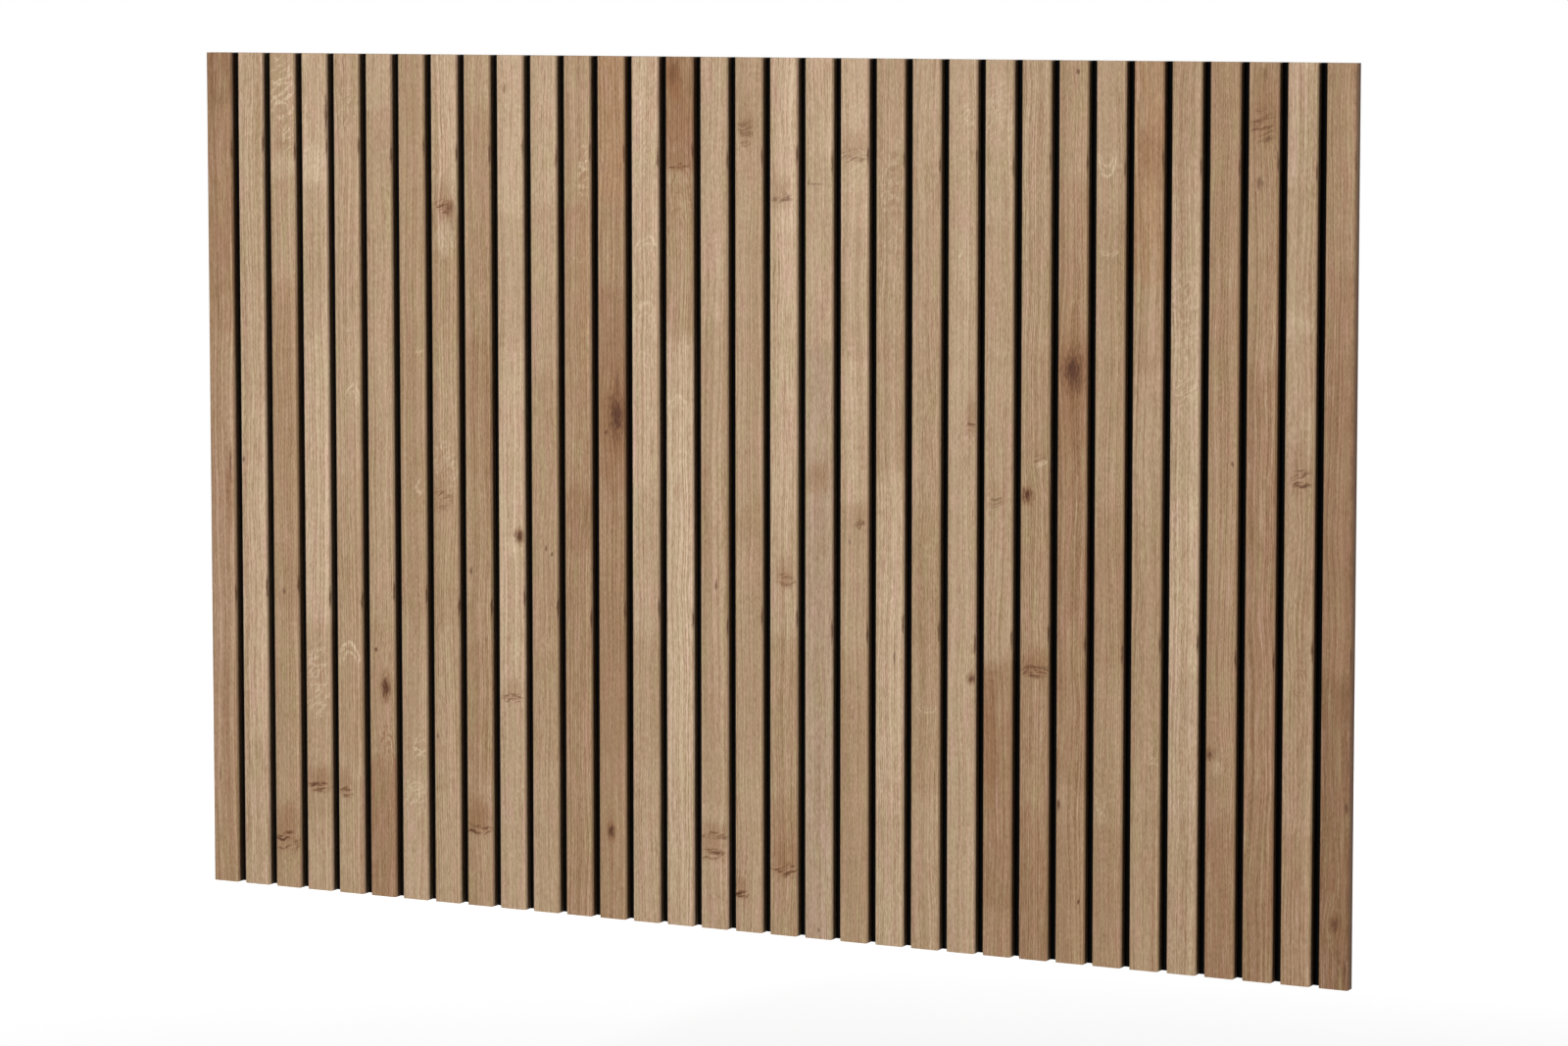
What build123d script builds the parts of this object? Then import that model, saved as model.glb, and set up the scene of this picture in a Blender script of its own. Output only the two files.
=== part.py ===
from build123d import *
from math import cos, radians, tan
import os

# A slatted headboard that hangs on a wall cleat. Lengths are in millimetres and angles in degrees.
# +Z is up, the slats face -Y and the wall is the plane Y = 0. X = 0 is the middle of the headboard.
# The origin is on the wall, at the middle of the wall cleat's row of screw holes.

# Slats
slat_count = 33
slat_width = 30.0
slat_gap = 10.0
slat_thickness = 12.0
slat_height = 900.0
slat_arris_radius = 1.5

# Backing board, which stops short of the outer faces of the first and last slats
board_thickness = 3.0
board_side_inset = 4.0

# Strips on the back of the board: the hanging cleat and two battens. They stop short of the board's
# sides. The wall cleat is cut from the same strip.
strip_thickness = 15.0
strip_height = 60.0
strip_side_inset = 3.0
strip_edge_radius = 1.0
top_strip_inset = 40.0
bottom_strip_inset = 40.0

# The sloped seat between the two cleats
seat_angle = 45.0
seat_clearance = 0.3

# Wall cleat and its screw holes
wall_cleat_end_inset = 48.0
wall_hole_radius = 2.75
wall_head_radius = 5.5
wall_head_rim = 0.5
wall_hole_end_inset = 40.0
inner_wall_hole_spacing = 400.0

# Screws through a strip and the board into each slat
screw_radius = 1.75
screw_head_radius = 3.5
screw_head_rim = 0.3
screw_tip_length = 3.0
screw_cover = 5.0
screw_clearance = 0.2
countersink_angle = 90.0
drive_length_share = 0.5
drive_width_share = 0.14
drive_depth_share = 0.7

# Pads between the battens and the wall, centred behind the gap of this number from each end
pad_radius = 10.0
pad_thickness = 2.0
pad_edge_radius = 0.6
pad_gap_number = 2

# How far a cutting shape runs past the face that it cuts
overrun = 1.0

# Places across the width
slat_pitch = slat_width + slat_gap
slat_places = [slat_pitch * (number - (slat_count - 1) / 2) for number in range(slat_count)]
last_slat_x = slat_places[-1]
board_width = 2 * last_slat_x + slat_width - 2 * board_side_inset
strip_length = board_width - 2 * strip_side_inset
wall_cleat_length = strip_length - 2 * wall_cleat_end_inset
outer_wall_hole_x = wall_cleat_length / 2 - wall_hole_end_inset
inner_wall_hole_x = inner_wall_hole_spacing / 2
pad_x = last_slat_x - slat_pitch * (pad_gap_number - 0.5)

# Places from the wall towards the room
strip_back_y = -pad_thickness
board_back_y = strip_back_y - strip_thickness
board_front_y = board_back_y - board_thickness
slat_front_y = board_front_y - slat_thickness

# Heights. The hanging cleat's sloped edge lies parallel to the wall cleat's, one clearance above it.
seat_rise = strip_thickness * tan(radians(seat_angle))
wall_cleat_bottom_z = -strip_height / 2
wall_cleat_front_top_z = strip_height / 2
wall_cleat_back_top_z = wall_cleat_front_top_z - seat_rise
hook_bottom_z = (
    wall_cleat_back_top_z
    + pad_thickness * tan(radians(seat_angle))
    + seat_clearance / cos(radians(seat_angle))
)
hook_front_z = hook_bottom_z + seat_rise
hanging_cleat_top_z = hook_bottom_z + strip_height
panel_top_z = hanging_cleat_top_z + top_strip_inset
panel_bottom_z = panel_top_z - slat_height
cleat_screw_z = (hook_front_z + hanging_cleat_top_z) / 2
lower_batten_z = panel_bottom_z + bottom_strip_inset + strip_height / 2
middle_batten_z = (cleat_screw_z + lower_batten_z) / 2
screw_row_heights = [cleat_screw_z, middle_batten_z, lower_batten_z]

# The screw passes the strip and the board, and stops short of the slat's front
screw_length = strip_thickness + board_thickness + slat_thickness - screw_cover


def countersunk_form(shank_radius, head_radius, head_rim, length, tip_length, above_head):
    """A countersunk outline turned about Y, with the head's face at Y = 0 and the point towards -Y."""
    cone_height = (head_radius - shank_radius) / tan(radians(countersink_angle / 2))
    outline = Polyline(
        (0, above_head),
        (head_radius, above_head),
        (head_radius, -head_rim),
        (shank_radius, -head_rim - cone_height),
        (shank_radius, tip_length - length),
        (0, -length),
        close=True,
    )
    return revolve(make_face(outline), Axis.Y)


def make_screw():
    """One screw, with a cross recess in its head."""
    screw = countersunk_form(
        screw_radius, screw_head_radius, screw_head_rim, screw_length, screw_tip_length, 0
    )
    drive_length = 2 * screw_head_radius * drive_length_share
    drive_width = 2 * screw_head_radius * drive_width_share
    drive_depth = (screw_head_radius - screw_radius) * drive_depth_share
    screw -= Box(drive_length, 2 * drive_depth, drive_width)
    screw -= Box(drive_width, 2 * drive_depth, drive_length)
    return screw


def screw_places(z):
    """One row of screws at height z, with the heads flush in the backs of the strips."""
    return [Pos(x, strip_back_y, z) for x in slat_places]


def make_screw_hole():
    """The space that one screw needs, from behind the strip to just past the screw's tip."""
    return countersunk_form(
        screw_radius + screw_clearance,
        screw_head_radius + screw_clearance,
        screw_head_rim,
        screw_length + screw_clearance,
        0,
        overrun,
    )


def make_slat():
    """A slat at X = 0: rounded front arrises, and a pilot hole in the back for each screw."""
    centre_y = (board_front_y + slat_front_y) / 2
    centre_z = panel_bottom_z + slat_height / 2
    slat = Pos(0, centre_y, centre_z) * Box(slat_width, slat_thickness, slat_height)
    front_arrises = slat.edges().filter_by(Axis.Z).group_by(Axis.Y)[0]
    slat = fillet(front_arrises, slat_arris_radius)
    hole = make_screw_hole()
    return slat - [Pos(0, strip_back_y, z) * hole for z in screw_row_heights]


def make_backing_board():
    """The board behind all slats, with a hole for every screw."""
    centre_y = (board_back_y + board_front_y) / 2
    centre_z = panel_bottom_z + slat_height / 2
    board = Pos(0, centre_y, centre_z) * Box(board_width, board_thickness, slat_height)
    hole = make_screw_hole()
    return board - [place * hole for z in screw_row_heights for place in screw_places(z)]


def make_strip(outline, length):
    """A strip along X from its outline in the Y and Z directions, centred on X = 0."""
    face = make_face(Polyline(*[(-length / 2, y, z) for y, z in outline], close=True))
    return extrude(face, amount=length, dir=(1, 0, 0))


def drill_for_screws(strip, z):
    """Cut the row of countersunk screw holes at height z."""
    hole = make_screw_hole()
    return strip - [place * hole for place in screw_places(z)]


def make_batten(z):
    """A square-edged strip centred at height z."""
    bottom = z - strip_height / 2
    top = z + strip_height / 2
    outline = [
        (strip_back_y, bottom),
        (board_back_y, bottom),
        (board_back_y, top),
        (strip_back_y, top),
    ]
    batten = make_strip(outline, strip_length)
    batten = fillet(batten.edges().filter_by(Axis.X), strip_edge_radius)
    return drill_for_screws(batten, z)


def make_hanging_cleat():
    """The top strip, whose sloped lower edge reaches down behind the wall cleat."""
    outline = [
        (strip_back_y, hook_bottom_z),
        (board_back_y, hook_front_z),
        (board_back_y, hanging_cleat_top_z),
        (strip_back_y, hanging_cleat_top_z),
    ]
    cleat = make_strip(outline, strip_length)
    top_edges = cleat.edges().filter_by(Axis.X).group_by(Axis.Z)[-1]
    cleat = fillet(top_edges, strip_edge_radius)
    return drill_for_screws(cleat, cleat_screw_z)


def make_wall_cleat():
    """The strip on the wall, with its sloped upper edge and four countersunk holes for wall screws."""
    outline = [
        (0, wall_cleat_bottom_z),
        (0, wall_cleat_back_top_z),
        (-strip_thickness, wall_cleat_front_top_z),
        (-strip_thickness, wall_cleat_bottom_z),
    ]
    cleat = make_strip(outline, wall_cleat_length)
    bottom_edges = cleat.edges().filter_by(Axis.X).group_by(Axis.Z)[0]
    cleat = fillet(bottom_edges, strip_edge_radius)
    hole = countersunk_form(
        wall_hole_radius, wall_head_radius, wall_head_rim, strip_thickness + overrun, 0, overrun
    )
    hole_places = [-outer_wall_hole_x, -inner_wall_hole_x, inner_wall_hole_x, outer_wall_hole_x]
    return cleat - [Pos(x, -strip_thickness, 0) * Rot(Z=180) * hole for x in hole_places]


def make_pad():
    """A round pad whose flat front is on the plane Y = 0 and whose rounded face is towards +Y."""
    pad = Pos(0, pad_thickness / 2, 0) * Rot(X=-90) * Cylinder(pad_radius, pad_thickness)
    return fillet(pad.edges().group_by(Axis.Y)[-1], pad_edge_radius)


def write(name, shape):
    """Write one node's file."""
    export_step(shape, f"parts/{name}.step")


def main():
    os.makedirs("parts", exist_ok=True)

    slat = make_slat()
    for number, x in enumerate(slat_places, start=1):
        write(f"slat_{number:02d}", Pos(x, 0, 0) * slat)

    write("backing_board", make_backing_board())
    write("hanging_cleat", make_hanging_cleat())
    write("middle_batten", make_batten(middle_batten_z))
    write("lower_batten", make_batten(lower_batten_z))
    write("wall_cleat", make_wall_cleat())

    screw = make_screw()
    screw_rows = {
        "cleat_screws": cleat_screw_z,
        "middle_screws": middle_batten_z,
        "lower_screws": lower_batten_z,
    }
    for name, z in screw_rows.items():
        write(name, Compound([place * screw for place in screw_places(z)]))

    pad = make_pad()
    pad_places = [
        Pos(x, strip_back_y, z) for z in (middle_batten_z, lower_batten_z) for x in (-pad_x, pad_x)
    ]
    write("wall_pads", Compound([place * pad for place in pad_places]))


main()
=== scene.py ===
# The looks of a slatted oak headboard that hangs on a wall cleat: its slats, board, strips, screws and
# pads, and the floor, lamps and camera that show it.
from collections import namedtuple
from contextlib import contextmanager
from math import pi, radians, sin

import bmesh
import bpy
from bpy.props import (
    FloatProperty,
    FloatVectorProperty,
    IntProperty,
    PointerProperty,
)
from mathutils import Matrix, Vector


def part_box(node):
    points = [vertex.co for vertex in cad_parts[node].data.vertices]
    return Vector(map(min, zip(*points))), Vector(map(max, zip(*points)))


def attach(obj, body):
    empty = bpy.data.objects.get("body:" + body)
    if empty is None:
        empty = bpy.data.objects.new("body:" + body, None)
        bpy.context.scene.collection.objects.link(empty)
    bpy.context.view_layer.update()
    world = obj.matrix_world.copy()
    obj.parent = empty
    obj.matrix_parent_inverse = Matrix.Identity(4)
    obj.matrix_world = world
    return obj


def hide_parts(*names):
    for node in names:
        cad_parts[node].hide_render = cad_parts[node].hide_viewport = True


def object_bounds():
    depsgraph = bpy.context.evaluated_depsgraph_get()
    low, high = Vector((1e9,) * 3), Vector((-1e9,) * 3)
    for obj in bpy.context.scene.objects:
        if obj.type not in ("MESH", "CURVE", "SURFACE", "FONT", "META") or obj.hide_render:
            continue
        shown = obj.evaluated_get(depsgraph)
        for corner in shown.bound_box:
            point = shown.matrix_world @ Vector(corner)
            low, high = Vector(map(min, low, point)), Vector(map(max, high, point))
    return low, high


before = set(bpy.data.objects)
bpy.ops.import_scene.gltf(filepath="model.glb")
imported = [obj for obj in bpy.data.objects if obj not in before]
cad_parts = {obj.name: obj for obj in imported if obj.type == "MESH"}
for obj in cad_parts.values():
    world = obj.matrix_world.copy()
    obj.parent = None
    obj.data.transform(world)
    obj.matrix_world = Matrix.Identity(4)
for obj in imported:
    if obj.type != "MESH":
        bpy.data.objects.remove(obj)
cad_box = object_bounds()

bl_info = {
    "name": "Slatted headboard",
    "version": (1, 0, 0),
    "blender": (4, 5, 0),
    "location": "3D View > Sidebar > Headboard",
    "description": "Dresses a slatted headboard and sets up its stage",
    "category": "Object",
}

# One millimetre in the scene's metres, and how many of them a metre has
MM = 0.001
PER_METRE = 1000

# The frame's nodes, by kind
slat_names = sorted(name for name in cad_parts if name.startswith("slat_"))
strip_names = ("hanging_cleat", "middle_batten", "lower_batten", "wall_cleat")
screw_rows = ("cleat_screws", "middle_screws", "lower_screws")

# The driving sizes, read from the frame
first_slat_low, first_slat_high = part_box(slat_names[0])
slat_front_y = first_slat_low.y
slat_back_y = first_slat_high.y
panel_top_z = first_slat_high.z
panel_bottom_z = first_slat_low.z
first_slat_x = (first_slat_low.x + first_slat_high.x) / 2
half_slat_width = (first_slat_high.x - first_slat_low.x) / 2
slat_thickness = slat_back_y - slat_front_y

# A slat's map for baking, one unit wide and high: how many columns the foil is cut into, how wide each
# is, the clear strip round each, the gap before the raw faces, and how far these stay from the ends
map_columns = 3
map_column_width = 0.31
map_margin = 0.004
map_gap = 0.005
map_raw_inset = 0.02

# Painted shade on the slats' sides: the foil darkens towards the board's black between these distances
# behind their fronts, in millimetres, by up to this share
painted_shade_start = 3
painted_shade_end = 9.5
painted_shade_share = 0.55

# How far each change of tone down a slat runs out above and below its border, in millimetres
border_softness = 10

# The thickness of the plywood's plies, in millimetres
ply_thickness = 1.36

# Edges that turn by less than this many degrees are shaded smooth
smooth_angle = 40


def linear(part):
    """One part of a screen colour, from 0 to 1, as light."""
    if part <= 0.04045:
        return part / 12.92
    return ((part + 0.055) / 1.055) ** 2.4


def tint(name, description, red, green, blue):
    """A colour that a user can change, with its default written as on a screen, from 0 to 255."""
    return FloatVectorProperty(
        name=name,
        description=description,
        subtype="COLOR",
        min=0,
        max=1,
        default=[linear(part / 255) for part in (red, green, blue)],
    )


def distance(name, description, millimetres):
    """A length that a user can change, with its default in millimetres."""
    return FloatProperty(
        name=name,
        description=description,
        subtype="DISTANCE",
        unit="LENGTH",
        min=0,
        precision=5,
        default=millimetres * MM,
    )


class SlatSettings(bpy.types.PropertyGroup):
    """Sizes of the slats."""

    arris_radius: distance("Arris radius", "Radius of the two long front edges", 1.5)
    arris_segments: IntProperty(
        name="Arris segments", description="Faces round each long front edge", default=4, min=1
    )
    pilot_radius: distance("Pilot radius", "Radius of the screw holes in the back", 1.95)
    pilot_depth: distance("Pilot depth", "Depth of the screw holes in the back", 7.2)
    pilot_sides: IntProperty(
        name="Pilot sides", description="Faces round each screw hole", default=12, min=3
    )


class OakSettings(bpy.types.PropertyGroup):
    """Colours of the oak foil, from the palest to the darkest."""

    pale: tint("Pale", "The palest oak", 196, 168, 138)
    light: tint("Light", "Light oak", 187, 159, 129)
    tan: tint("Tan", "Middling oak", 179, 150, 119)
    warm: tint("Warm", "Warm oak", 172, 142, 110)
    brown: tint("Brown", "Brown oak", 165, 133, 101)
    russet: tint("Russet", "Reddish oak", 168, 131, 97)
    umber: tint("Umber", "Deep brown oak", 155, 120, 89)
    dusk: tint("Dusk", "The darkest oak", 138, 103, 73)
    stain: tint("Stain", "The stain round a knot", 142, 100, 66)
    heart: tint("Knot heart", "The middle of a knot", 86, 50, 30)
    rose: tint("Rose", "Pinkish streaks", 180, 146, 122)
    straw: tint("Straw", "Yellowish streaks", 176, 152, 114)
    ash: tint("Ash", "Greyish oak", 179, 153, 126)
    fleck: tint("Ray fleck", "Flecks across the grain", 214, 190, 160)


class BoardSettings(bpy.types.PropertyGroup):
    """Colours of the board and strips behind the slats."""

    black: tint("Black", "The stained board behind the slats", 9, 9, 9)
    core: tint("Fibreboard", "The raw core of a slat", 150, 122, 92)
    veneer: tint("Veneer", "The face of the plywood", 214, 186, 146)
    ply_dark: tint("Cross ply", "Plies that end at the edge", 158, 124, 86)
    steel: tint("Zinc", "Zinc plate on the screws", 196, 194, 190)
    rubber: tint("Rubber", "The pads on the battens", 40, 40, 41)


# A lamp's name, the setting of its power, its width and height, and its place, in metres
Lamp = namedtuple("Lamp", "name power width height place")
lamps = (
    Lamp("key_lamp", "key_power", 0.4, 1.6, (-0.76, -4.5, 1.0)),
    Lamp("side_lamp", "side_power", 3.8, 3.8, (15.6, -7.0, 0.87)),
    Lamp("back_lamp", "back_power", 1.8, 1.8, (-1.2, 3.6, 1.8)),
)

# The camera stands to the right, turned left and a little down. Its place is in metres, and its angles
# are in degrees.
camera_place = (2.3154, -4.5267, 0.2102)
camera_pitch_down = 5.057
camera_turn_left = 26.839
camera_shift = -0.075
sensor_width = 36


class StageSettings(bpy.types.PropertyGroup):
    """The floor, lamps and camera."""

    floor_drop: distance("Floor drop", "Height of the headboard above the floor", 350)
    floor_size: distance("Floor size", "Length of the floor's sides", 40000)
    ambient: FloatProperty(name="Ambient", description="Light from all round", default=0.02, min=0)
    key_power: FloatProperty(
        name="Key lamp", description="Lamp at the front left", default=148, min=0, unit="POWER"
    )
    side_power: FloatProperty(
        name="Side lamp", description="Lamp at the front right", default=1600, min=0, unit="POWER"
    )
    back_power: FloatProperty(
        name="Back lamp", description="Lamp behind the headboard", default=120, min=0, unit="POWER"
    )
    lens: FloatProperty(
        name="Lens", description="Focal length", default=114.03, min=1, unit="CAMERA"
    )


class Shade:
    """A number that varies over a surface. Arithmetic on it adds Math nodes."""

    def __init__(self, finish, socket):
        self.finish = finish
        self.socket = socket

    def __add__(self, other):
        return self.finish.math("ADD", self, other)

    def __radd__(self, other):
        return self.finish.math("ADD", other, self)

    def __sub__(self, other):
        return self.finish.math("SUBTRACT", self, other)

    def __rsub__(self, other):
        return self.finish.math("SUBTRACT", other, self)

    def __mul__(self, other):
        return self.finish.math("MULTIPLY", self, other)

    def __rmul__(self, other):
        return self.finish.math("MULTIPLY", other, self)

    def __truediv__(self, other):
        return self.finish.math("DIVIDE", self, other)

    def __rtruediv__(self, other):
        return self.finish.math("DIVIDE", other, self)


class Finish:
    """One material, and the nodes that make its colour and relief."""

    def __init__(self, name):
        self.material = bpy.data.materials.new(name)
        self.material.use_nodes = True
        self.tree = self.material.node_tree
        self.surface = self.tree.nodes["Principled BSDF"]

    def node(self, kind, settings=None, sockets=None):
        """A node of this kind. Its settings come first, then the values or links of its sockets."""
        made = self.tree.nodes.new(kind)
        for name, value in (settings or {}).items():
            setattr(made, name, value)
        for name, value in (sockets or {}).items():
            self.feed(made.inputs[name], value)
        return made

    def feed(self, socket, value):
        """Links or sets one socket."""
        if isinstance(value, Shade):
            value = value.socket
        if isinstance(value, bpy.types.NodeSocket):
            self.tree.links.new(value, socket)
        else:
            socket.default_value = value

    def math(self, operation, *values):
        """One Math node."""
        made = self.node("ShaderNodeMath", {"operation": operation}, dict(enumerate(values)))
        return Shade(self, made.outputs[0])

    def place(self):
        """X, Y and Z on the surface, in millimetres."""
        where = self.node("ShaderNodeTexCoord").outputs["Object"]
        scaled = self.node(
            "ShaderNodeVectorMath", {"operation": "SCALE"}, {0: where, "Scale": PER_METRE}
        )
        parts = self.node("ShaderNodeSeparateXYZ", sockets={0: scaled.outputs[0]})
        return [Shade(self, part) for part in parts.outputs]

    def noise(self, x, y, z, detail=2.0, roughness=0.5):
        """Smooth noise from 0 to 1 whose spots are about one unit across."""
        where = self.node("ShaderNodeCombineXYZ", sockets={0: x, 1: y, 2: z})
        sockets = {
            "Vector": where.outputs[0],
            "Scale": 1.0,
            "Detail": detail,
            "Roughness": roughness,
        }
        return Shade(self, self.node("ShaderNodeTexNoise", sockets=sockets).outputs[0])

    def step(self, value, start, end):
        """0 before start, 1 after end, and smooth between. Start may be above end."""
        settings = {"interpolation_type": "SMOOTHSTEP"}
        if start < end:
            sockets = {0: value, 1: start, 2: end, 3: 0.0, 4: 1.0}
        else:
            sockets = {0: value, 1: end, 2: start, 3: 1.0, 4: 0.0}
        return Shade(self, self.node("ShaderNodeMapRange", settings, sockets).outputs[0])

    def mix(self, share, first, second):
        """A colour between two colours."""
        settings = {"data_type": "RGBA", "clamp_factor": True}
        colours = [
            (*value, 1.0) if not isinstance(value, bpy.types.NodeSocket) else value
            for value in (first, second)
        ]
        made = self.node("ShaderNodeMix", settings, {0: share, 6: colours[0], 7: colours[1]})
        return made.outputs[2]

    def scale(self, colour, share):
        """A colour made lighter or darker."""
        made = self.node(
            "ShaderNodeVectorMath", {"operation": "SCALE"}, {0: colour, "Scale": share}
        )
        return made.outputs[0]

    def shade(self, colour, amount, weights=(0.8, 1.0, 1.3)):
        """A colour made lighter or darker. Darker is warmer, because blue changes most."""
        change = self.scale(weights, amount)
        factors = self.node(
            "ShaderNodeVectorMath", {"operation": "ADD"}, {0: change, 1: (1.0, 1.0, 1.0)}
        )
        made = self.node(
            "ShaderNodeVectorMath", {"operation": "MULTIPLY"}, {0: colour, 1: factors.outputs[0]}
        )
        return made.outputs[0]

    def coat(self, colour, roughness, relief=None, depth=0.0, constants=None):
        """Joins the colour, roughness and relief to the surface, and sets its constants."""
        self.feed(self.surface.inputs["Base Color"], colour)
        self.feed(self.surface.inputs["Roughness"], roughness)
        for name, value in (constants or {}).items():
            self.feed(self.surface.inputs[name], value)
        if relief is not None:
            sockets = {"Height": relief, "Distance": depth, "Strength": 1.0}
            bump = self.node("ShaderNodeBump", sockets=sockets)
            self.feed(self.surface.inputs["Normal"], bump.outputs[0])
        return self.material


# What the foil shows on one slat. Its tones go from the top down, with the distance from the top at which
# each next one starts. A figure's place is the distance across from the slat's middle and down from its
# top. All are in millimetres.
Figure = namedtuple("Figure", "kind across drop width length strength tone")
Pattern = namedtuple("Pattern", "tones figures grain mottle")


def knot(across, drop, width=12, length=16, strength=0.9):
    """A dark knot that the grain bends round."""
    return Figure("knot", across, drop, width, length, strength, "heart")


def mark(across, drop, width=5, length=12, strength=0.7):
    """A small dark mark."""
    return Figure("mark", across, drop, width, length, strength, "heart")


def swirl(across, drop, width, length, strength=0.8):
    """Dark strokes that fan out across the slat, as beside a knot."""
    return Figure("swirl", across, drop, width, length, strength, "heart")


def patch(tone, across, drop, width, length, strength=0.6):
    """A stretch of another tone with soft edges."""
    return Figure("patch", across, drop, width, length, strength, tone)


def flecks(drop, length, strength=0.5, across=0, width=34):
    """Pale wavy flecks across the grain."""
    return Figure("flecks", across, drop, width, length, strength, "fleck")


def arches(across, drop, width, length, strength=0.8, tone="fleck"):
    """Two nested arches in the grain. They hang downwards where the length is negative."""
    return Figure("arches", across, drop, width, length, strength, tone)


def pattern(tones, *figures, grain=1.0, mottle=1.0):
    """The foil on one slat."""
    return Pattern(tones.split(), figures, grain, mottle)


def edge_marks(number):
    """The dark marks that each slat has on its right arris, at two heights."""
    return [
        mark(17, 101 + 5 * sin(2.4 * number), 6, 24, 0.7),
        mark(17, 577 + 8 * sin(1.7 * number), 6, 26, 0.8),
    ]


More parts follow.
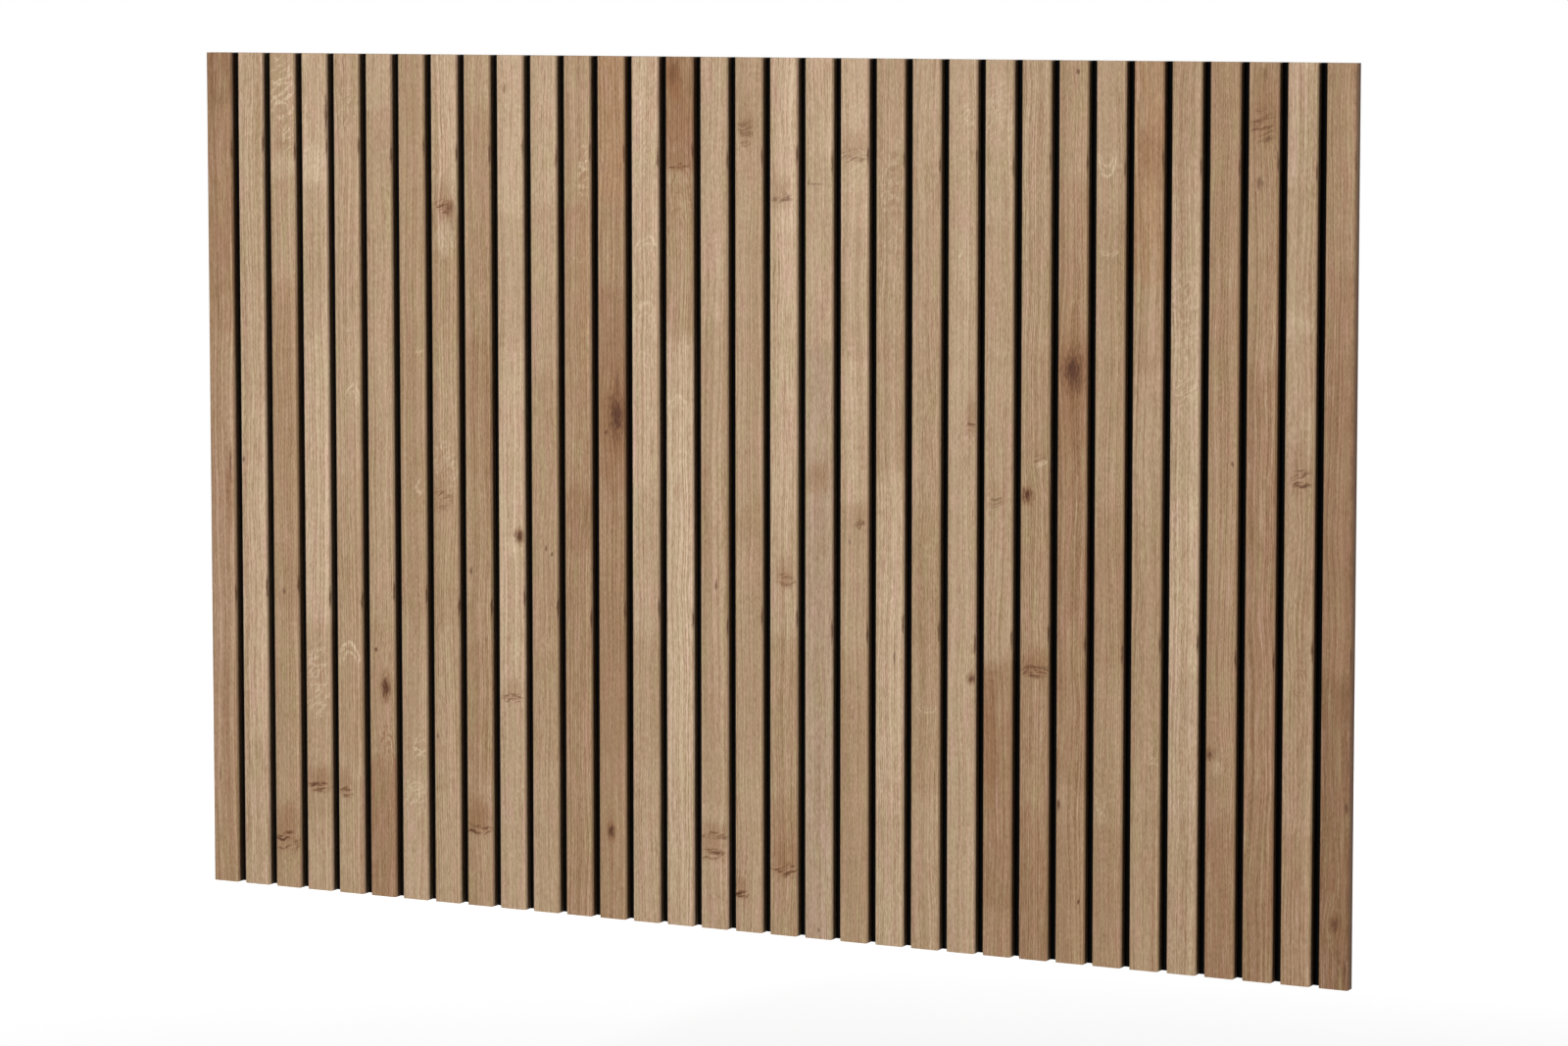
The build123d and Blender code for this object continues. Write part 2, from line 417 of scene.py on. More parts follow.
# One pattern for each slat, from the left
slat_patterns = [
    pattern(
        "dusk 60 umber 260 brown 300 warm 640 brown",
        patch("stain", -9, 420, 7, 340, 0.35),
        patch("rose", 0, 560, 60, 560, 0.5),
        patch("stain", 3, 720, 9, 260, 0.3),
        patch("stain", 10, 470, 10, 110, 0.6),
        mark(11, 444, 4, 42),
        mark(-6, 782, 2, 26),
        grain=1.15,
    ),
    pattern("light 380 pale 740 light", mark(-12, 437, 4, 8)),
    pattern(
        "tan 245 brown 590 warm",
        flecks(34, 84, 0.9),
        flecks(90, 26, 1.0, 8, 18),
        patch("stain", 0, 96, 30, 10, 0.3),
        patch("fleck", 0, 120, 40, 34, 0.35),
        mark(-2, 577, 4, 10),
        swirl(0, 850, 34, 24, 1.0),
        patch("umber", 0, 380, 44, 200, 0.3),
    ),
    pattern(
        "pale 140 light 300 pale 610 tan 820 light",
        patch("fleck", 0, 118, 40, 56, 0.35),
        flecks(118, 40, 0.6),
        mark(16, 66, 6, 54, 0.8),
        flecks(547, 16, 0.7, 8, 16),
        flecks(675, 100, 0.65),
        patch("fleck", 0, 440, 60, 400, 0.12),
        swirl(0, 787, 36, 12, 1.0),
        mark(-5, 785, 22, 4, 0.5),
    ),
    pattern(
        "tan 450 warm 750 tan",
        flecks(60, 60, 0.4),
        arches(0, 288, 18, -14, 0.6),
        arches(6, 372, 20, 44, 0.9),
        arches(0, 650, 28, 44, 0.9),
        swirl(-6, 790, 18, 16),
    ),
    pattern(
        "light 60 tan 600 warm 750 umber",
        mark(-7, 634, 4, 6, 0.9),
        knot(5, 674, 10, 20, 1.0),
        arches(6, 760, 20, 90, 1.0, "stain"),
        grain=0.8,
    ),
    pattern(
        "warm 590 tan 760 light",
        flecks(312, 12, 0.5, 9, 12),
        flecks(457, 24, 0.7, 9, 12),
        flecks(735, 26, 0.8, 6, 18),
        flecks(790, 44, 0.7, 0, 26),
    ),
    pattern(
        "pale 165 warm 300 tan 450 warm 600 tan",
        knot(6, 161, 12, 13, 0.7),
        swirl(0, 160, 24, 16, 0.8),
        mark(10, 182, 4, 32, 0.5),
        patch("fleck", 0, 192, 32, 44, 0.4),
        flecks(440, 70, 0.6),
        patch("warm", 0, 455, 36, 60, 0.5),
        swirl(-2, 470, 22, 28, 0.5),
        arches(0, 614, 24, 50, 0.5, "umber"),
        mark(-11, 722, 4, 8),
    ),
    pattern(
        "tan 60 warm 290 brown 440 warm 620 brown 760 warm",
        mark(-9, 543, 5, 11),
        patch("stain", 0, 797, 26, 34, 0.4),
        swirl(-2, 817, 34, 14, 1.0),
        mark(-4, 815, 20, 4, 0.5),
        grain=1.1,
    ),
    pattern(
        "pale 170 light 300 pale 680 light",
        patch("tan", -4, 32, 16, 12),
        mark(-6, 35, 4, 12, 0.5),
        patch("fleck", 2, 512, 24, 26, 0.5),
        knot(10, 503, 9, 11, 1.0),
        swirl(1, 675, 26, 12, 0.7),
    ),
    pattern(
        "light 150 tan 330 warm 740 tan",
        mark(2, 514, 4, 7),
        mark(9, 520, 4, 6),
        grain=0.8,
    ),
    pattern(
        "warm 150 brown 450 umber 520 brown",
        flecks(120, 64, 1.0, 8, 14),
        arches(4, 208, 15, -12, 0.7),
        patch("russet", 8, 240, 12, 300, 0.6),
        grain=1.1,
    ),
    pattern(
        "russet 150 brown 240 umber 450 brown",
        mark(-10, 115, 3, 12, 0.4),
        patch("stain", 3, 380, 40, 190, 0.5),
        mark(8, 338, 5, 30),
        knot(7, 372, 17, 42, 1.0),
        mark(-6, 389, 5, 7, 1.0),
        patch("umber", 0, 600, 60, 340, 0.5),
        patch("stain", -2, 800, 20, 44, 0.25),
        knot(-1, 807, 8, 12, 0.9),
        grain=1.1,
    ),
    pattern(
        "pale 450 light 600 tan 730 light",
        flecks(60, 120, 0.4),
        arches(2, 202, 28, 34, 1.1),
        arches(0, 285, 28, 70, 0.8),
        arches(0, 330, 24, 60, 0.5),
    ),
    pattern(
        "umber 118 warm 290 pale 740 light",
        patch("fleck", 0, 620, 60, 640, 0.25),
        patch("stain", 0, 60, 44, 100, 0.6),
        patch("stain", -6, 18, 28, 66, 1.0),
        mark(-6, 16, 14, 34, 0.5),
        swirl(-3, 112, 28, 8, 0.8),
        arches(2, 165, 30, 110, 0.7, "stain"),
        arches(0, 190, 30, 70, 0.5, "stain"),
        arches(-2, 366, 30, 36, 0.8),
        arches(4, 430, 26, 60, 0.6),
        grain=1.1,
    ),
    pattern(
        "light 270 tan 770 light",
        mark(3, 542, 4, 14),
        swirl(0, 803, 36, 10, 0.7),
        swirl(-2, 822, 34, 12, 0.8),
    ),
    pattern(
        "tan",
        patch("stain", -1, 70, 24, 30, 0.1),
        swirl(-2, 72, 20, 20, 0.45),
        swirl(0, 88, 20, 7, 0.4),
        patch("brown", 0, 480, 36, 56, 0.6),
        swirl(-8, 861, 16, 11, 1.0),
    ),
    pattern(
        "pale 450 light 590 warm",
        swirl(-2, 142, 26, 12, 0.55),
        mark(6, 141, 4, 6, 0.6),
        patch("fleck", 0, 165, 32, 32, 0.3),
        patch("pale", 0, 455, 36, 100, 0.5),
        patch("stain", 2, 530, 20, 34, 0.4),
        swirl(2, 532, 26, 14, 0.5),
        swirl(1, 832, 36, 16, 1.0),
        patch("stain", 0, 790, 44, 90, 0.3),
    ),
    pattern(
        "pale 100 light 290 ash",
        mark(-11, 125, 3, 14, 0.6),
        mark(-2, 127, 22, 3, 0.4),
        patch("umber", -2, 425, 30, 50, 0.6),
        mark(1, 891, 4, 6),
        grain=0.8,
    ),
    pattern(
        "pale 170 light 300 pale 450 tan 600 warm",
        swirl(0, 97, 34, 16, 0.7),
        flecks(120, 40, 0.5),
        swirl(7, 470, 12, 12, 0.6),
        mark(-4, 489, 4, 7, 0.6),
        patch("fleck", 0, 50, 44, 130, 0.15),
        patch("fleck", 0, 560, 44, 180, 0.12),
    ),
    pattern(
        "tan 420 pale 760 light",
        patch("umber", 6, 130, 22, 80, 0.35),
        arches(4, 170, 28, 150, 0.9, "umber"),
        arches(4, 230, 30, 190, 0.8, "umber"),
        flecks(128, 48, 0.4),
        patch("fleck", 0, 640, 60, 260, 0.15),
        mark(6, 604, 3, 18),
        patch("fleck", 0, 150, 60, 330, 0.12),
    ),
    pattern(
        "tan 450 warm 740 tan",
        arches(2, 650, 24, -18, 0.5),
        patch("fleck", 0, 70, 44, 200, 0.15),
        grain=0.7,
    ),
    pattern(
        "light",
        flecks(55, 26, 0.9, 5, 12),
        flecks(203, 26, 0.9, -2, 10),
        swirl(11, 368, 12, 18, 0.9),
        knot(12, 620, 8, 9, 0.7),
        patch("fleck", 0, 230, 44, 180, 0.15),
    ),
    pattern(
        "light 160 tan 600 umber 850 brown",
        flecks(55, 70, 0.4),
        swirl(-3, 440, 22, 14, 0.4),
        patch("stain", -8, 690, 20, 170, 0.6),
    ),
    pattern(
        "tan 290 warm 590 brown 750 umber",
        flecks(398, 12, 0.7, 8, 16),
        swirl(6, 396, 16, 10, 0.5),
        knot(-8, 432, 10, 12, 1.0),
        swirl(3, 608, 34, 14, 1.0),
        mark(4, 604, 26, 4, 0.6),
        mark(2, 613, 22, 4, 0.6),
        patch("fleck", 0, 80, 44, 220, 0.12),
        grain=1.15,
    ),
    pattern(
        "warm 120 brown 280 umber 720 brown",
        mark(5, 11, 5, 6),
        patch("stain", 0, 320, 44, 200, 0.5),
        knot(1, 306, 20, 36, 1.0),
        mark(-12, 741, 5, 12, 1.0),
        patch("umber", 0, 830, 60, 200, 0.5),
        mark(10, 837, 4, 6, 0.9),
        grain=1.1,
    ),
    pattern(
        "tan 150 warm 440 brown 600 warm 760 brown",
        arches(-3, 92, 22, -44, 0.9),
        arches(0, 186, 20, -12, 0.7),
        flecks(735, 30, 0.5, -8, 12),
    ),
    pattern(
        "russet 220 warm 300 tan 450 warm",
        patch("stain", 4, 88, 36, 70, 0.5),
        flecks(690, 12, 0.5, 11, 10),
        grain=1.1,
        mottle=1.3,
    ),
    pattern(
        "warm 100 tan 200 light 430 pale 600 light 740 tan",
        flecks(245, 100, 0.5),
        flecks(318, 30, 0.7),
        patch("fleck", 0, 450, 60, 1000, 0.1),
        mottle=1.3,
    ),
    pattern(
        "brown 740 umber",
        mark(11, 391, 5, 8),
        patch("pale", -4, 690, 16, 20, 0.5),
        knot(-11, 678, 8, 11, 0.6),
    ),
    pattern(
        "brown 300 umber",
        mark(1, 11, 10, 14, 0.4),
        patch("stain", 0, 60, 38, 80, 0.25),
        swirl(1, 62, 30, 34, 0.6),
        mark(-3, 117, 10, 16, 0.5),
        grain=1.15,
        mottle=1.4,
    ),
    pattern(
        "light 120 tan 400 warm 750 brown",
        patch("fleck", 0, 254, 36, 34, 0.35),
        swirl(2, 402, 26, 24, 0.9),
        patch("fleck", 0, 350, 44, 130, 0.15),
        arches(2, 602, 18, 34, 0.7, "stain"),
        arches(2, 604, 14, -24, 0.7, "stain"),
        mottle=1.3,
    ),
    pattern(
        "brown 200 umber 590 dusk",
        patch("dusk", 0, 430, 60, 340, 0.35),
        # Painted shade on the outer side, from top to bottom, in the tone of a knot's heart
        patch("heart", 21.5, 450, 18, 3000, 0.5),
        mark(12, 722, 5, 12),
        knot(1, 836, 9, 15, 0.6),
        mark(12, 881, 3, 30),
        mark(6, 872, 3, 34, 0.5),
        grain=1.1,
    ),
]


def ellipse(finish, wrap, drop, figure):
    """How far out a point is from a figure's middle, where 1 is its edge."""
    sideways = (wrap - figure.across) * (2 / figure.width)
    downwards = (drop - figure.drop) * (2 / figure.length)
    squared = sideways * sideways + downwards * downwards
    return finish.math("SQRT", squared)


def paint_arches(finish, colour, figure, oak, wrap, drop, seed):
    """Two nested lines along the edge of the figure's upper half, broken here and there."""
    reach = ellipse(finish, wrap, drop, figure)
    bend = (finish.noise(wrap / 12, drop / 12, seed, 2) - 0.5) * 0.7
    broken = finish.step(finish.noise(wrap / 5, drop / 5, seed + 0.5), 0.3, 0.55)
    outer = finish.step(finish.math("ABSOLUTE", reach + bend - 0.9), 0.15, 0.03)
    inner = finish.step(finish.math("ABSOLUTE", reach + bend - 0.55), 0.15, 0.03)
    upper = finish.step((drop - figure.drop) / figure.length, 0.15, -0.15)
    lines = (outer + inner * 0.7) * upper * broken
    return finish.mix(lines * 0.75 * figure.strength, colour, getattr(oak, figure.tone))


def paint_flecks(finish, colour, figure, oak, wrap, drop, seed):
    """Thin curved lines that run mostly across the grain."""
    edge = (finish.noise(wrap / 9, drop / 14, seed) - 0.5) * 1.2
    inside = finish.step(ellipse(finish, wrap, drop, figure) + edge, 1.2, 0.6)
    curl = finish.noise(wrap / 15, (drop + wrap * 0.6) / 9, seed + 0.5, 2)
    lines = finish.step(finish.math("ABSOLUTE", curl - 0.5), 0.06, 0.015)
    return finish.mix(inside * lines * 0.75 * figure.strength, colour, getattr(oak, figure.tone))


def paint_swirl(finish, colour, figure, oak, wrap, drop, seed):
    """Dark strokes in a brown stain, which reaches further up than down."""
    strength = figure.strength
    around = figure._replace(
        drop=figure.drop - figure.length * 0.7,
        width=figure.width * 1.3,
        length=figure.length * 3,
    )
    ragged = (finish.noise(wrap / 5, drop / 9, seed + 0.3, 2) - 0.5) * 0.9
    stained = finish.step(ellipse(finish, wrap, drop, around) + ragged, 1.1, 0.2)
    sway = finish.noise(wrap / 16, drop / 30, seed, 1) * 14
    fan = drop + (wrap - figure.across) * 0.2 + sway
    strokes = finish.noise(wrap / 16, fan / 3.2, seed + 0.5, 2, 0.6)
    inside = finish.step(ellipse(finish, wrap, drop, figure) + ragged * 0.5, 1.25, 0.6)
    soft_strokes = inside * finish.step(strokes, 0.42, 0.6)
    dark_strokes = inside * finish.step(strokes, 0.48, 0.64)
    colour = finish.mix(stained * 0.5 * strength, colour, oak.stain)
    colour = finish.mix(soft_strokes * 0.7 * strength, colour, oak.stain)
    return finish.mix(dark_strokes * 0.9 * strength, colour, getattr(oak, figure.tone))


def paint_patch(finish, colour, figure, oak, wrap, drop, seed):
    """An area of another tone."""
    edge = (finish.noise(wrap / 7, drop / 22, seed, 2) - 0.5) * 1.4
    inside = finish.step(ellipse(finish, wrap, drop, figure) + edge, 1.2, 0.3)
    return finish.mix(inside * figure.strength, colour, getattr(oak, figure.tone))


def feather(finish, wrap, drop, seed):
    """How ragged the edge of a knot or a mark is. The feathers run along the grain."""
    return (finish.noise(wrap / 1.8, drop / 7, seed, 3, 0.6) - 0.5) * 1.8


def paint_knot(finish, colour, figure, oak, wrap, drop, seed):
    """A dark heart with brushed edges, in a wide stain."""
    strength = figure.strength
    tone = getattr(oak, figure.tone)
    reach = ellipse(finish, wrap, drop, figure)
    feathers = feather(finish, wrap, drop, seed)
    around = figure._replace(width=figure.width * 2, length=figure.length * 2.4)
    stained = finish.step(ellipse(finish, wrap, drop, around) + feathers * 0.4, 1.1, 0.1)
    brushed = finish.step(reach + feathers * 1.7, 1.7, 0.5)
    core = finish.step(reach + feathers * 1.2, 0.85, 0.25)
    colour = finish.mix(stained * 0.8 * strength, colour, oak.stain)
    colour = finish.mix(brushed * 0.6 * strength, colour, tone)
    return finish.mix(core * strength, colour, tone)


def paint_mark(finish, colour, figure, oak, wrap, drop, seed):
    """A dark spot with feathered edges."""
    reach = ellipse(finish, wrap, drop, figure) + feather(finish, wrap, drop, seed)
    inside = finish.step(reach, 1.15, 0.25)
    return finish.mix(inside * figure.strength, colour, getattr(oak, figure.tone))


figure_painters = {
    "arches": paint_arches,
    "flecks": paint_flecks,
    "knot": paint_knot,
    "mark": paint_mark,
    "patch": paint_patch,
    "swirl": paint_swirl,
}


def oak_finish(number, foil, oak, board):
    """The oak foil of one slat. It wraps round the sides, so its pattern runs over the arrises. Its sides
    darken with depth towards the board's black, as painted shade.
    """
    finish = Finish(f"oak_{number:02d}")
    low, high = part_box(slat_names[number - 1])
    x, y, z = finish.place()
    sideways = x - (low.x + high.x) / 2 * PER_METRE
    depth = y - slat_front_y * PER_METRE
    wrap = sideways + finish.math("SIGN", sideways) * depth
    drop = panel_top_z * PER_METRE - z
    seed = 17.3 * number

    # The grain sways, and parts round each knot
    grain = wrap + (finish.noise(wrap / 45, drop / 170, seed) - 0.5) * 14
    for figure in foil.figures:
        if figure.kind == "knot":
            reach = ellipse(finish, wrap, drop, figure)
            grain = grain - (wrap - figure.across) * 0.6 / (1 + reach * reach * 0.5)

    # Long lines under a millimetre wide, pale threads, dark pores, and a fine tooth of short dashes
    lines = finish.step(finish.noise(grain / 0.9, drop / 800, seed + 1, 1), 0.42, 0.58)
    threads = finish.step(finish.noise(grain / 1.0, drop / 60, seed + 9, 1), 0.6, 0.7)
    pores = finish.step(finish.noise(grain / 0.9, drop / 26, seed + 5, 1), 0.58, 0.66)
    tooth = finish.step(finish.noise(grain / 0.8, drop / 5, seed + 4, 2, 0.6), 0.38, 0.62)
    blotches = finish.noise(grain / 3.2, drop / 11, seed + 10, 2)
    bands = finish.noise(grain / 4, drop / 300, seed + 2, 2, 0.55)
    drift = finish.noise(wrap / 22, drop / 90, seed + 3, 2, 0.5)
    hue = finish.noise(grain / 6, drop / 70, seed + 11, 1)
    cast = finish.noise(grain / 9, drop / 45, seed + 12, 2)

    # The tones down the slat have slightly uneven borders
    uneven = drop + (drift - 0.5) * 30
    colour = getattr(oak, foil.tones[0])
    for border, tone in zip(foil.tones[1::2], foil.tones[2::2]):
        middle = float(border)
        share = finish.step(uneven, middle - border_softness, middle + border_softness)
        colour = finish.mix(share, colour, getattr(oak, tone))
    colour = finish.mix(finish.step(hue, 0.5, 0.7) * 0.35, colour, oak.rose)
    colour = finish.mix(finish.step(hue, 0.5, 0.3) * 0.35, colour, oak.straw)
    colour = finish.shade(colour, cast - 0.5, (0.18, -0.09, 0.2))
    colour = finish.mix(threads * 0.4, colour, oak.pale)
    colour = finish.mix(pores * 0.45, colour, oak.dusk)
    for order, figure in enumerate([*foil.figures, *edge_marks(number)], start=6):
        paint = figure_painters[figure.kind]
        colour = paint(finish, colour, figure, oak, wrap, drop, seed + order)

    streaks = (lines - 0.5) * (0.35 * foil.grain) + (bands - 0.5) * (0.38 * foil.grain)
    streaks = streaks + (tooth - 0.5) * 0.31 + (drift - 0.5) * 0.25
    streaks = streaks + (blotches - 0.5) * (0.2 * foil.mottle)
    colour = finish.shade(colour, streaks)
    # Painted shade: the sides grow darker with depth, where the gaps between the slats fall into shade
    painted_depth_shade = finish.step(depth, painted_shade_start, painted_shade_end) * painted_shade_share
    colour = finish.mix(painted_depth_shade, colour, board.black)
    roughness = 0.62 + lines * 0.12
    relief = lines * 0.5 - pores * 0.5
    return finish.coat(colour, roughness, relief, 0.05 * MM, {"Specular IOR Level": 0.25})


def core_finish(board):
    """Raw fibreboard, as on the ends and back of a slat."""
    finish = Finish("fibreboard_core")
    x, y, z = finish.place()
    fibres = finish.noise(x / 0.9, y / 0.5, z / 0.9, 4, 0.65)
    colour = finish.scale(board.core, 0.75 + fibres * 0.5)
    return finish.coat(colour, 0.9, fibres, 0.15 * MM)


def black_finish(board):
    """Black stained fibreboard."""
    finish = Finish("black_board")
    x, y, z = finish.place()
    fibres = finish.noise(x / 1.5, y / 1.5, z / 1.5, 4, 0.65)
    colour = finish.scale(board.black, 0.7 + fibres * 0.6)
    return finish.coat(colour, 0.85, fibres, 0.1 * MM, {"Specular IOR Level": 0.05})


def plywood_finish(board):
    """Birch plywood: veneer on the two faces, and plies along the edges."""
    finish = Finish("plywood")
    x, y, z = finish.place()
    sway = (finish.noise(x / 180, y / 40, z / 30) - 0.5) * 16
    grain = finish.noise(x / 60, y / 6, (z + sway) / 1.8, 3, 0.6)
    bands = finish.noise(x / 240, y / 9, (z + sway) / 7, 2)
    dark_grain = finish.step(grain, 0.48, 0.75)
    veneer = finish.mix(dark_grain * 0.45, board.veneer, board.ply_dark)
    veneer = finish.scale(veneer, 0.78 + grain * 0.15 + bands * 0.3)
    # The plies alternate in tone
    plies = finish.step(finish.math("SINE", y * (pi / ply_thickness)), -0.25, 0.25)
    end_grain = finish.noise(x / 0.8, y / 0.8, z / 0.8, 3)
    edge = finish.scale(finish.mix(plies, board.ply_dark, board.veneer), 0.75 + end_grain * 0.5)
    facing = finish.node("ShaderNodeTexCoord").outputs["Normal"]
    parts = finish.node("ShaderNodeSeparateXYZ", sockets={0: facing})
    flat = finish.step(finish.math("ABSOLUTE", Shade(finish, parts.outputs[1])), 0.8, 0.85)
    colour = finish.mix(flat, edge, veneer)
    return finish.coat(colour, 0.6, grain, 0.08 * MM)


def steel_finish(board):
    """Zinc-plated steel."""
    finish = Finish("zinc_steel")
    x, y, z = finish.place()
    clouds = finish.noise(x / 2.5, y / 2.5, z / 2.5)
    colour = finish.scale(board.steel, 0.85 + clouds * 0.3)
    return finish.coat(colour, 0.28 + clouds * 0.16, constants={"Metallic": 1.0})


def rubber_finish(board):
    """Dark rubber with a fine tooth."""
    finish = Finish("pad_rubber")
    x, y, z = finish.place()
    tooth = finish.noise(x / 0.4, y / 0.4, z / 0.4)
    colour = finish.scale(board.rubber, 0.8 + tooth * 0.4)
    return finish.coat(colour, 0.75, tooth, 0.05 * MM)


def deselect_all():
    """Leaves no object selected."""
    bpy.ops.object.select_all(action="DESELECT")


def use(piece):
    """Selects one object alone and makes it active."""
    deselect_all()
    piece.select_set(True)
    bpy.context.view_layer.objects.active = piece


def fix_place():
    """Moves the selected objects' places, turns and scales into their meshes."""
    bpy.ops.object.transform_apply(location=True, rotation=True, scale=True)


@contextmanager
def editing(piece):
    """Edit mode on one object. Gives its mesh, with nothing selected."""
    use(piece)
    bpy.ops.object.mode_set(mode="EDIT")
    bpy.ops.mesh.select_all(action="DESELECT")
    yield bmesh.from_edit_mesh(piece.data)
    bpy.ops.object.mode_set(mode="OBJECT")


def pick(piece, mesh, elements, wanted):
    """Selects the edges or faces for which wanted is true."""
    for element in elements:
        if wanted(element):
            element.select_set(True)
    mesh.select_flush_mode()
    bmesh.update_edit_mesh(piece.data)


def add_block(name, low, high):
    """A box between two corners."""
    deselect_all()
    bpy.ops.mesh.primitive_cube_add(size=1, location=(low + high) / 2, scale=high - low)
    piece = bpy.context.object
    piece.name = name
    fix_place()
    return piece


def cut(piece, cutter):
    """Takes the cutter out of the piece and deletes it."""
    use(piece)
    bpy.ops.object.modifier_add(type="BOOLEAN")
    modifier = piece.modifiers[-1]
    modifier.operation = "DIFFERENCE"
    modifier.solver = "EXACT"
    modifier.object = cutter
    bpy.ops.object.modifier_apply(modifier=modifier.name)
    use(cutter)
    bpy.ops.object.delete()


def make_slat_form(sizes):
    """One slat in the place of the first: rounded front arrises, and a pilot hole for each screw."""
    slat = add_block("slat_form", *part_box(slat_names[0]))

    def front_arris(edge):
        """Whether this is one of the two long front edges."""
        ends = [corner.co for corner in edge.verts]
        upright = abs(ends[0].z - ends[1].z) > half_slat_width
        return upright and all(abs(end.y - slat_front_y) < MM / 10 for end in ends)

    with editing(slat) as mesh:
        bpy.ops.mesh.select_mode(type="EDGE")
        pick(slat, mesh, mesh.edges, front_arris)
        bpy.ops.mesh.bevel(
            offset=sizes.arris_radius, segments=sizes.arris_segments, affect="EDGES"
        )
    for row in screw_rows:
        low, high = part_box(row)
        deselect_all()
        bpy.ops.mesh.primitive_cylinder_add(
            vertices=sizes.pilot_sides,
            radius=sizes.pilot_radius,
            depth=2 * sizes.pilot_depth,
            location=(first_slat_x, slat_back_y, (low.z + high.z) / 2),
            rotation=(radians(90), 0, 0),
        )
        fix_place()
        cut(slat, bpy.context.object)
    return slat


def sort_faces(slat):
    """Gives the front and sides of a slat, but not its holes, the first material: the foil."""
    for face in slat.data.polygons:
        before_back = face.center.y < slat_back_y - MM
        front = face.normal.y < -0.01
        level = abs(face.normal.x) > 0.99
        outermost = abs(abs(face.center.x - first_slat_x) - half_slat_width) < MM
        foil = before_back and (front or (level and outermost))
        face.material_index = 0 if foil else 1


def lay_out_slat(slat):
    """A map for baking the slat. The foil is cut across into columns that lie side by side, and the raw
    faces lie in a strip beside them."""
    foil_reach = half_slat_width + slat_thickness
    height = panel_top_z - panel_bottom_z
    column_height = height / map_columns
    raw_start = map_columns * map_column_width + map_gap
    raw_width = 1 - map_margin - raw_start
    layer = slat.data.uv_layers.new(name="OFBake")
    for face in slat.data.polygons:
        column = min(int((panel_top_z - face.center.z) / column_height), map_columns - 1)
        side = 1 if face.center.x > first_slat_x else -1
        for loop in face.loop_indices:
            place = slat.data.vertices[slat.data.loops[loop].vertex_index].co
            sideways = place.x - first_slat_x
            depth = place.y - slat_front_y
            drop = panel_top_z - place.z
            if face.material_index == 0:
                share = (sideways + side * depth + foil_reach) / (2 * foil_reach)
                fall = drop / column_height - column
                across = column * map_column_width + map_margin
                across += share * (map_column_width - 2 * map_margin)
                down = map_margin + fall * (1 - 2 * map_margin)
            else:
                share = (sideways + half_slat_width) / (2 * half_slat_width)
                across = raw_start + share * raw_width
                fall = (drop + depth * face.normal.z) / height
                down = map_raw_inset + fall * (1 - 2 * map_raw_inset)
            layer.data[loop].uv = (across, down)


def split_slat(slat):
    """Cuts the slat's faces across, so that each lies in one column of its map."""
    for number in range(1, map_columns):
        height = panel_top_z - (panel_top_z - panel_bottom_z) * number / map_columns
        with editing(slat):
            bpy.ops.mesh.select_all(action="SELECT")
            bpy.ops.mesh.bisect(plane_co=(0, 0, height), plane_no=(0, 0, 1))


class HEADBOARD_OT_slats(bpy.types.Operator):
    """Makes the slats, each in its own oak foil."""

    bl_idname = "headboard.slats"
    bl_label = "Make slats"

    def execute(self, context):
        scene = context.scene
        form = make_slat_form(scene.headboard_slats)
        split_slat(form)
        sort_faces(form)
        lay_out_slat(form)
        # The first slot is filled anew on each copy
        core = core_finish(scene.headboard_board)
        form.data.materials.append(core)
        form.data.materials.append(core)
        for number, node in enumerate(slat_names, start=1):
            low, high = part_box(node)
            use(form)
            bpy.ops.object.duplicate(linked=False)
            slat = context.object
            bpy.ops.transform.translate(value=((low.x + high.x) / 2 - first_slat_x, 0, 0))
            fix_place()
            slat.name = f"oak_{node}"
            bpy.ops.object.shade_smooth_by_angle(angle=radians(smooth_angle))
            foil = slat_patterns[number - 1]
            slat.data.materials[0] = oak_finish(
                number, foil, scene.headboard_oak, scene.headboard_board
            )
            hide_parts(node)
            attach(slat, "headboard")
        use(form)
        bpy.ops.object.delete()
        return {"FINISHED"}


def dress(node, material):
    """Puts a material on a node of the frame."""
    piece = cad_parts[node]
    piece.data.materials.clear()
    piece.data.materials.append(material)


class HEADBOARD_OT_board(bpy.types.Operator):
    """Stains the backing board."""

    bl_idname = "headboard.board"
    bl_label = "Stain backing board"

    def execute(self, context):
        dress("backing_board", black_finish(context.scene.headboard_board))
        return {"FINISHED"}


class HEADBOARD_OT_strips(bpy.types.Operator):
    """Finishes the cleats and battens."""

    bl_idname = "headboard.strips"
    bl_label = "Finish strips"

    def execute(self, context):
        plywood = plywood_finish(context.scene.headboard_board)
        for node in strip_names:
            dress(node, plywood)
        return {"FINISHED"}


class HEADBOARD_OT_fittings(bpy.types.Operator):
    """Finishes the screws and pads."""

    bl_idname = "headboard.fittings"
    bl_label = "Finish fittings"

    def execute(self, context):
        steel = steel_finish(context.scene.headboard_board)
        for node in screw_rows:
            dress(node, steel)
        dress("wall_pads", rubber_finish(context.scene.headboard_board))
        return {"FINISHED"}


def add_lamp(lamp, power, target):
    """A soft oblong lamp that faces a point."""
    deselect_all()
    place = Vector(lamp.place)
    facing = (target - place).to_track_quat("-Z", "Y").to_euler()
    bpy.ops.object.light_add(type="AREA", location=place, rotation=facing)
    made = bpy.context.object
    made.name = lamp.name
    made.data.energy = power
    made.data.shape = "RECTANGLE"
    made.data.size = lamp.width
    made.data.size_y = lamp.height


def seen_rays(finish):
    """1 for what the camera, a reflection or a clear part shows, and 0 for light on the object."""
    path = finish.node("ShaderNodeLightPath")
    names = ("Is Camera Ray", "Is Glossy Ray", "Is Transmission Ray")
    seen, glossy, through = [Shade(finish, path.outputs[name]) for name in names]
    return finish.math("MINIMUM", seen + glossy + through, 1.0)


class WorldFinish(Finish):
    """The nodes of the world."""

    def __init__(self, world):
        world.use_nodes = True
        self.tree = world.node_tree


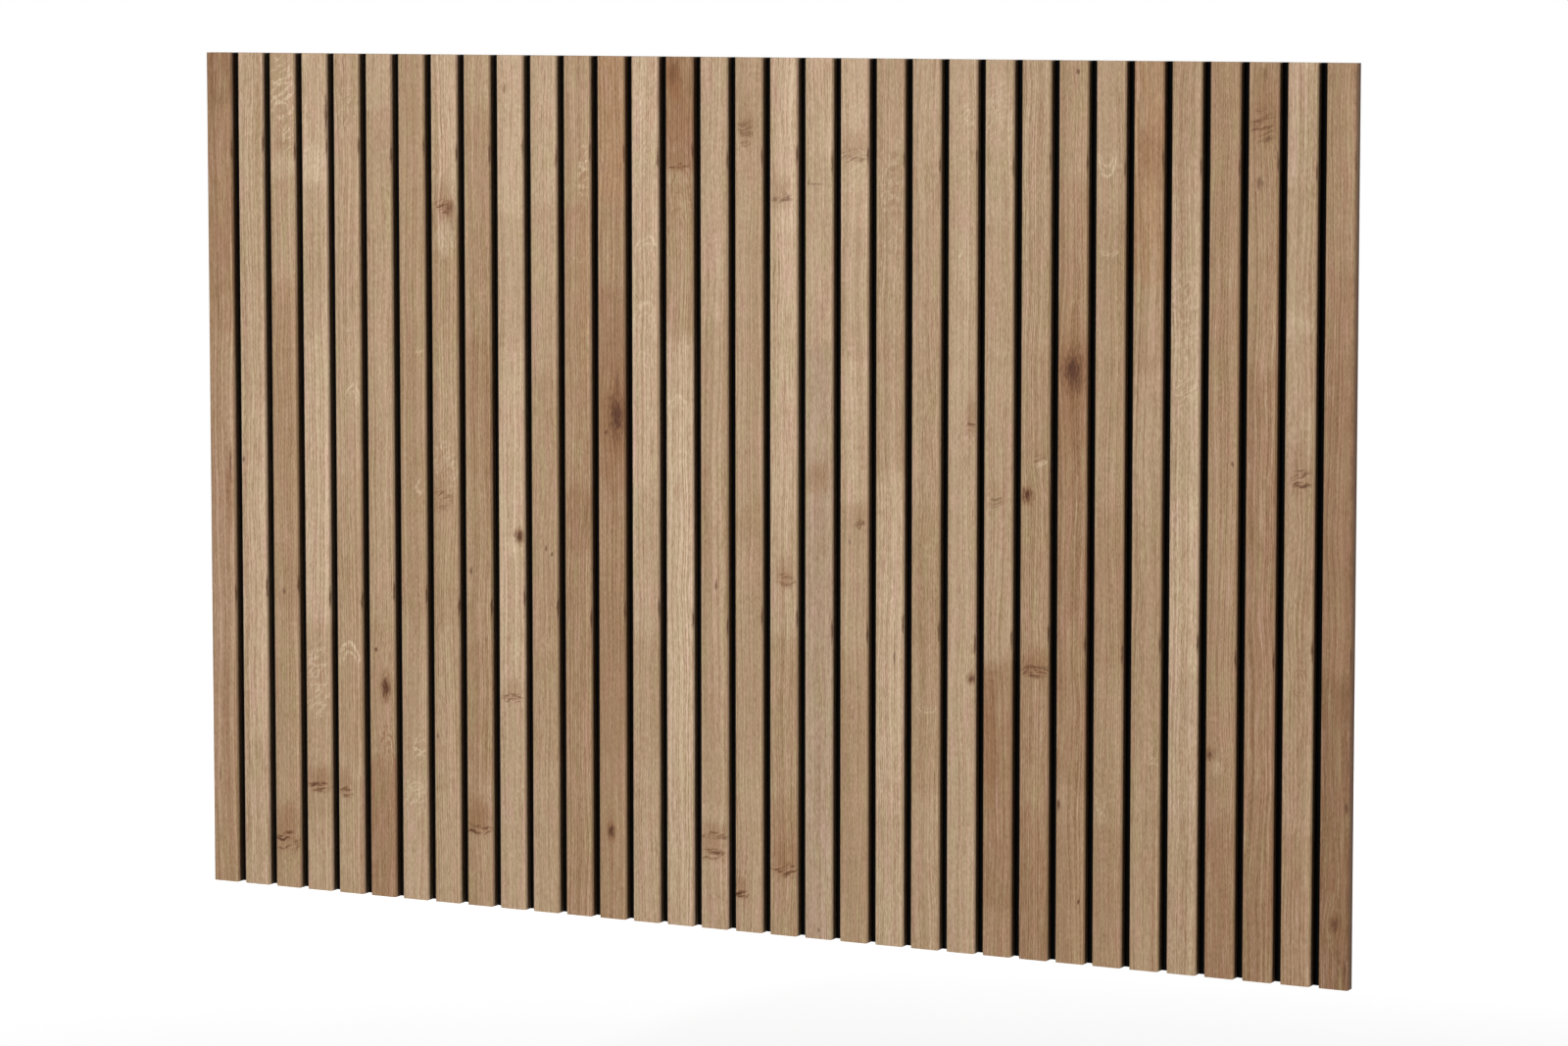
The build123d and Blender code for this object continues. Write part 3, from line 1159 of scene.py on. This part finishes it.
def set_world(ambient):
    """White where it is seen, and a soft even light elsewhere."""
    scene = bpy.context.scene
    if scene.world is None:
        scene.world = bpy.data.worlds.new("studio")
    sky = WorldFinish(scene.world)
    background = sky.tree.nodes["Background"]
    sky.feed(background.inputs["Color"], (1, 1, 1, 1))
    sky.feed(background.inputs["Strength"], seen_rays(sky) * (1 - ambient) + ambient)


def floor_finish():
    """A pale floor that shows white and keeps the shadow."""
    finish = Finish("pale_floor")
    x, y, _ = finish.place()
    clouds = finish.noise(x / 900, y / 900, 0)
    grey = (0.3, 0.3, 0.3)
    colour = finish.scale(grey, 0.98 + clouds * 0.04)
    reach = finish.math("SQRT", x * x + y * y)
    brightness = 0.75 + finish.step(reach, 900, 3000) * 0.25
    glow = finish.mix(seen_rays(finish) * brightness, (0, 0, 0), (1, 1, 1))
    finish.feed(finish.surface.inputs["Emission Color"], glow)
    constants = {"Emission Strength": 1.0, "Specular IOR Level": 0.0}
    return finish.coat(colour, 0.9, constants=constants)


class HEADBOARD_OT_stage(bpy.types.Operator):
    """Makes the floor, lamps, world and camera."""

    bl_idname = "headboard.stage"
    bl_label = "Set stage"

    def execute(self, context):
        stage = context.scene.headboard_stage
        low, high = cad_box
        deselect_all()
        bpy.ops.mesh.primitive_plane_add(
            size=stage.floor_size, location=(0, 0, panel_bottom_z - stage.floor_drop)
        )
        floor = context.object
        floor.name = "floor"
        fix_place()
        floor.data.materials.append(floor_finish())

        for lamp in lamps:
            add_lamp(lamp, getattr(stage, lamp.power), (low + high) / 2)
        set_world(stage.ambient)

        deselect_all()
        bpy.ops.object.camera_add(
            location=camera_place,
            rotation=(radians(90 - camera_pitch_down), 0, radians(camera_turn_left)),
        )
        camera = context.object
        camera.name = "camera"
        camera.data.sensor_width = sensor_width
        camera.data.lens = stage.lens
        camera.data.shift_y = camera_shift
        context.scene.camera = camera
        context.scene.view_settings.view_transform = "Standard"
        return {"FINISHED"}


class HEADBOARD_PT_sidebar(bpy.types.Panel):
    """The headboard's operators and settings."""

    bl_idname = "HEADBOARD_PT_sidebar"
    bl_label = "Headboard"
    bl_space_type = "VIEW_3D"
    bl_region_type = "UI"
    bl_category = "Headboard"

    def draw(self, context):
        """Lists the operators, and then each group of settings in a box."""
        for operator in operators:
            self.layout.operator(operator.bl_idname)
        for name in settings_groups:
            group = getattr(context.scene, name)
            box = self.layout.box()
            for setting in group.__annotations__:
                box.prop(group, setting)


operators = (
    HEADBOARD_OT_slats,
    HEADBOARD_OT_board,
    HEADBOARD_OT_strips,
    HEADBOARD_OT_fittings,
    HEADBOARD_OT_stage,
)
settings_groups = {
    "headboard_slats": SlatSettings,
    "headboard_oak": OakSettings,
    "headboard_board": BoardSettings,
    "headboard_stage": StageSettings,
}


def register():
    """Adds the settings, the operators and the panel."""
    for name, group in settings_groups.items():
        bpy.utils.register_class(group)
        setattr(bpy.types.Scene, name, PointerProperty(type=group))
    for made in (*operators, HEADBOARD_PT_sidebar):
        bpy.utils.register_class(made)


def unregister():
    """Takes away what register added."""
    for made in (HEADBOARD_PT_sidebar, *reversed(operators)):
        bpy.utils.unregister_class(made)
    for name, group in settings_groups.items():
        delattr(bpy.types.Scene, name)
        bpy.utils.unregister_class(group)


def main():
    """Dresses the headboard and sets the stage."""
    register()
    bpy.ops.headboard.slats()
    bpy.ops.headboard.board()
    bpy.ops.headboard.strips()
    bpy.ops.headboard.fittings()
    bpy.ops.headboard.stage()


if __name__ == "__main__":
    main()
